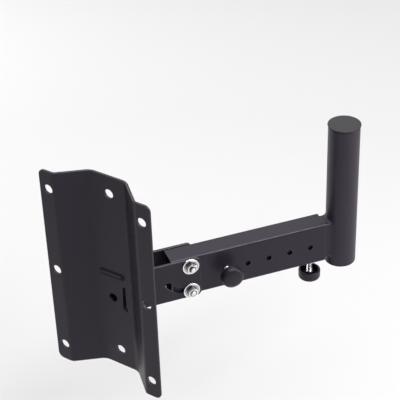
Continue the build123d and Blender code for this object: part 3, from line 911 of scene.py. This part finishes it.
class BRACKET_OT_bolts(Operator):
    """Make the pivot and tilt bolts with their washers and nuts"""
    bl_idname = "bracket.bolts"
    bl_label = "Bolts"

    def execute(self, context):
        sizes = context.scene.bracket_hardware
        bore = sizes.bolt_diameter / 2 + sizes.thread_play
        for name, body in (("pivot", "wall_mount"), ("tilt", "outer_arm")):
            place = middle(f"{name}_washer")
            grids = {
                "bolt": bolt_grid(f"{name}_bolt", place, sizes),
                "washer": washer_grid(f"{name}_washer", place, NUTWARDS, sizes),
                "nut": nut_grid(f"{name}_nut", place, NUTWARDS, bore, sizes.bolt_pitch),
            }
            if name == "tilt":
                grids["head_washer"] = washer_grid("tilt_head_washer", place, SIDE, sizes)
            for kind, (grid, polish) in grids.items():
                node = f"{name}_{kind}"
                piece = closed_solid(f"zinc_{node}", grid, kind != "bolt", polish)
                dress(piece, "Zinc Plate", "zinc_steel", body, node)
        return {"FINISHED"}


class BRACKET_OT_knobs(Operator):
    """Make the lock and clamp knobs with their screws and nuts"""
    bl_idname = "bracket.knobs"
    bl_label = "Knobs"

    def execute(self, context):
        sizes = context.scene.bracket_hardware
        bore = sizes.screw_diameter / 2 + sizes.thread_play
        for name, skirt, nut_body in (
                ("lock", sizes.lock_skirt, "inner_arm"), ("clamp", sizes.clamp_skirt, "outer_arm")):
            place = np.array(JOINTS[f"{name}_knob_turn"]["pos_m"])
            outward = unit(middle(f"{name}_knob") - place)
            knob = closed_solid(f"moulded_{name}_knob", knob_grid(f"{name}_knob", place, outward, skirt, sizes))
            dress(knob, "Knob Plastic", "knob_plastic", f"{name}_grip", f"{name}_knob")
            rod, polish = screw_grid(f"{name}_screw", place, -outward, sizes)
            screw = closed_solid(f"zinc_{name}_screw", rod, polish=polish)
            dress(screw, "Zinc Plate", "zinc_steel", f"{name}_stem", f"{name}_screw")
            ring, polish = nut_grid(f"{name}_nut", place, outward, bore, sizes.screw_pitch)
            nut = closed_solid(f"zinc_{name}_nut", ring, True, polish)
            dress(nut, "Zinc Plate", "zinc_steel", nut_body, f"{name}_nut")
        return {"FINISHED"}


class BRACKET_OT_bores(Operator):
    """Line the free lock holes with near-black bores, painted shade inside the holes"""
    bl_idname = "bracket.bores"
    bl_label = "Bores"

    def execute(self, context):
        sizes = context.scene.bracket_hardware
        first = middle("lock_screw")
        mouth = first + (span("outer_tube", first, NUTWARDS)[1] - sizes.hole_sink) * NUTWARDS
        for step in range(1, FREE_HOLES + 1):
            place = mouth + step * sizes.hole_pitch * ALONG
            bore = closed_solid(f"lock_bore_{step}", bore_grid(place, NUTWARDS, sizes))
            dress(bore, "Dull Scale", "black_steel", "outer_arm")
        return {"FINISHED"}


class BRACKET_OT_pole(Operator):
    """Make the loudspeaker pole and its cap"""
    bl_idname = "bracket.pole"
    bl_label = "Pole"

    def execute(self, context):
        sizes = context.scene.bracket_pole
        pole = closed_solid("coated_pole", pole_grid(sizes), True)
        # The pole's paler coat paints light on it
        dress(pole, "Pole Coat", "black_steel", "inner_arm", "speaker_pole")
        cap = closed_solid("moulded_cap", cap_grid(sizes))
        dress(cap, "Cap Plastic", "cap_plastic", "inner_arm", "pole_cap")
        return {"FINISHED"}


class BRACKET_OT_welds(Operator):
    """Lay the welds: the pole's saddle, the cross plate's tab, the bottom plate and the cheeks' feet on the web"""
    bl_idname = "bracket.welds"
    bl_label = "Welds"

    def execute(self, context):
        sizes = context.scene.bracket_pole
        saddle = closed_solid("saddle_weld", saddle_fillet(sizes), True)
        dress(saddle, "Weld Coat", "black_steel", "inner_arm")
        dress(closed_solid("tab_weld", tab_bead(sizes), True), "Smoked Weld", "black_steel", "wall_mount")
        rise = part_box("bottom_plate")[0].z
        start = cheek_foot("nut_side_cheek", 1, rise)
        end = cheek_foot("head_side_cheek", -1, rise)
        self.lay("bottom_plate_weld", start, end, -UP, sizes)
        for node, outer in (("head_side_cheek", 1), ("nut_side_cheek", -1)):
            low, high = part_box(node)
            for name, face in (("outer", outer), ("inner", -outer)):
                start = cheek_foot(node, face, low.z + sizes.cheek_bead_inset)
                end = cheek_foot(node, face, high.z - sizes.cheek_bead_inset)
                self.lay(f"{node}_{name}_weld", start, end, face * SIDE, sizes)
        return {"FINISHED"}

    def lay(self, name, start, end, outward, sizes):
        """Straight bead of the channel, between two points."""
        bead = straight_bead(start, end, outward, sizes.cheek_bead, sizes)
        dress(closed_solid(name, bead), "Weld Coat", "black_steel", "wall_mount")


class BRACKET_OT_stage(Operator):
    """Set up the floor, the light and the camera"""
    bl_idname = "bracket.stage"
    bl_label = "Stage"

    def execute(self, context):
        settings = context.scene.bracket_stage
        self.lay_floor(settings)
        self.light(context.scene, settings)
        self.stand_camera(context.scene, settings)
        context.scene.view_settings.view_transform = "Standard"
        return {"FINISHED"}

    def lay_floor(self, settings):
        """Flat square floor under the bracket."""
        height = CAD_BOX[0].z - settings.floor_drop
        corners = FLOOR_HALF * np.array([(-1, -1), (1, -1), (1, 1), (-1, 1)])
        points = np.concatenate([corners, np.full((4, 1), height)], 1)
        mesh = bpy.data.meshes.new("floor")
        mesh.from_pydata(points.tolist(), [], [(0, 1, 2, 3)])
        mesh.materials.append(floor_material(settings))
        floor = add_object("floor", mesh)

    def light(self, scene, settings):
        """Even light all round, broad lamps overhead and beyond the pole, one at each side and a strip."""
        scene.world = bpy.data.worlds.new("Studio")
        scene.world.use_nodes = True
        sky = scene.world.node_tree.nodes["Background"]
        sky.inputs["Color"].default_value = (1, 1, 1, 1)
        sky.inputs["Strength"].default_value = settings.world_strength
        for name, (place, target, size) in LAMPS.items():
            data = bpy.data.lights.new(f"{name} lamp", "AREA")
            data.shape = "RECTANGLE"
            data.size, data.size_y = size
            data.energy = getattr(settings, f"{name}_power")
            lamp = add_object(f"{name} lamp", data)
            lamp.location = place
            lamp.rotation_euler = (Vector(target) - Vector(place)).to_track_quat("-Z", "Y").to_euler()

    def stand_camera(self, scene, settings):
        """Camera at the photograph's place: the rows of the turn are its right, down and forward directions."""
        a, e = settings.azimuth, settings.elevation
        forward = -np.array([sin(a) * cos(e), -cos(a) * cos(e), sin(e)])
        right = unit(np.cross(forward, UP))
        down = np.cross(forward, right)
        c, s = cos(settings.roll), sin(settings.roll)
        turn = np.stack([c * right - s * down, s * right + c * down, forward])
        place = -turn.T @ np.array([*settings.aim, settings.distance])
        data = bpy.data.cameras.new("camera")
        data.lens = settings.lens
        data.sensor_width = SENSOR
        camera = add_object("camera", data)
        pose = np.eye(4)
        pose[:3] = np.stack([turn[0], -turn[1], -turn[2], place], 1)
        camera.matrix_world = Matrix(pose.tolist())
        scene.camera = camera


class BRACKET_PT_panel(Panel):
    """Sidebar panel with the bracket's sizes, colours and operators"""
    bl_idname = "BRACKET_PT_panel"
    bl_label = "Wall Bracket"
    bl_space_type = "VIEW_3D"
    bl_region_type = "UI"
    bl_category = "Bracket"

    def draw(self, context):
        column = self.layout.column()
        for name, group in GROUPS.items():
            for value in group.__annotations__:
                column.prop(getattr(context.scene, name), value)
        for operator in OPERATORS:
            column.operator(operator.bl_idname)


GROUPS = {
    "bracket_hardware": HardwareSizes,
    "bracket_pole": PoleSizes,
    "bracket_colours": FinishColours,
    "bracket_stage": StageSettings,
}
OPERATORS = (
    BRACKET_OT_finishes,
    BRACKET_OT_bolts,
    BRACKET_OT_knobs,
    BRACKET_OT_bores,
    BRACKET_OT_pole,
    BRACKET_OT_welds,
    BRACKET_OT_stage,
)


def register():
    """Add the property groups, operators and panel to Blender."""
    for name, group in GROUPS.items():
        bpy.utils.register_class(group)
        setattr(bpy.types.Scene, name, PointerProperty(type=group))
    for kind in (*OPERATORS, BRACKET_PT_panel):
        bpy.utils.register_class(kind)


def unregister():
    """Take them away again."""
    for kind in (BRACKET_PT_panel, *reversed(OPERATORS)):
        bpy.utils.unregister_class(kind)
    for name, group in reversed(GROUPS.items()):
        delattr(bpy.types.Scene, name)
        bpy.utils.unregister_class(group)


def main():
    """Dress the bracket."""
    register()
    for operator in OPERATORS:
        family, name = operator.bl_idname.split(".")
        getattr(getattr(bpy.ops, family), name)()


if __name__ == "__main__":
    main()
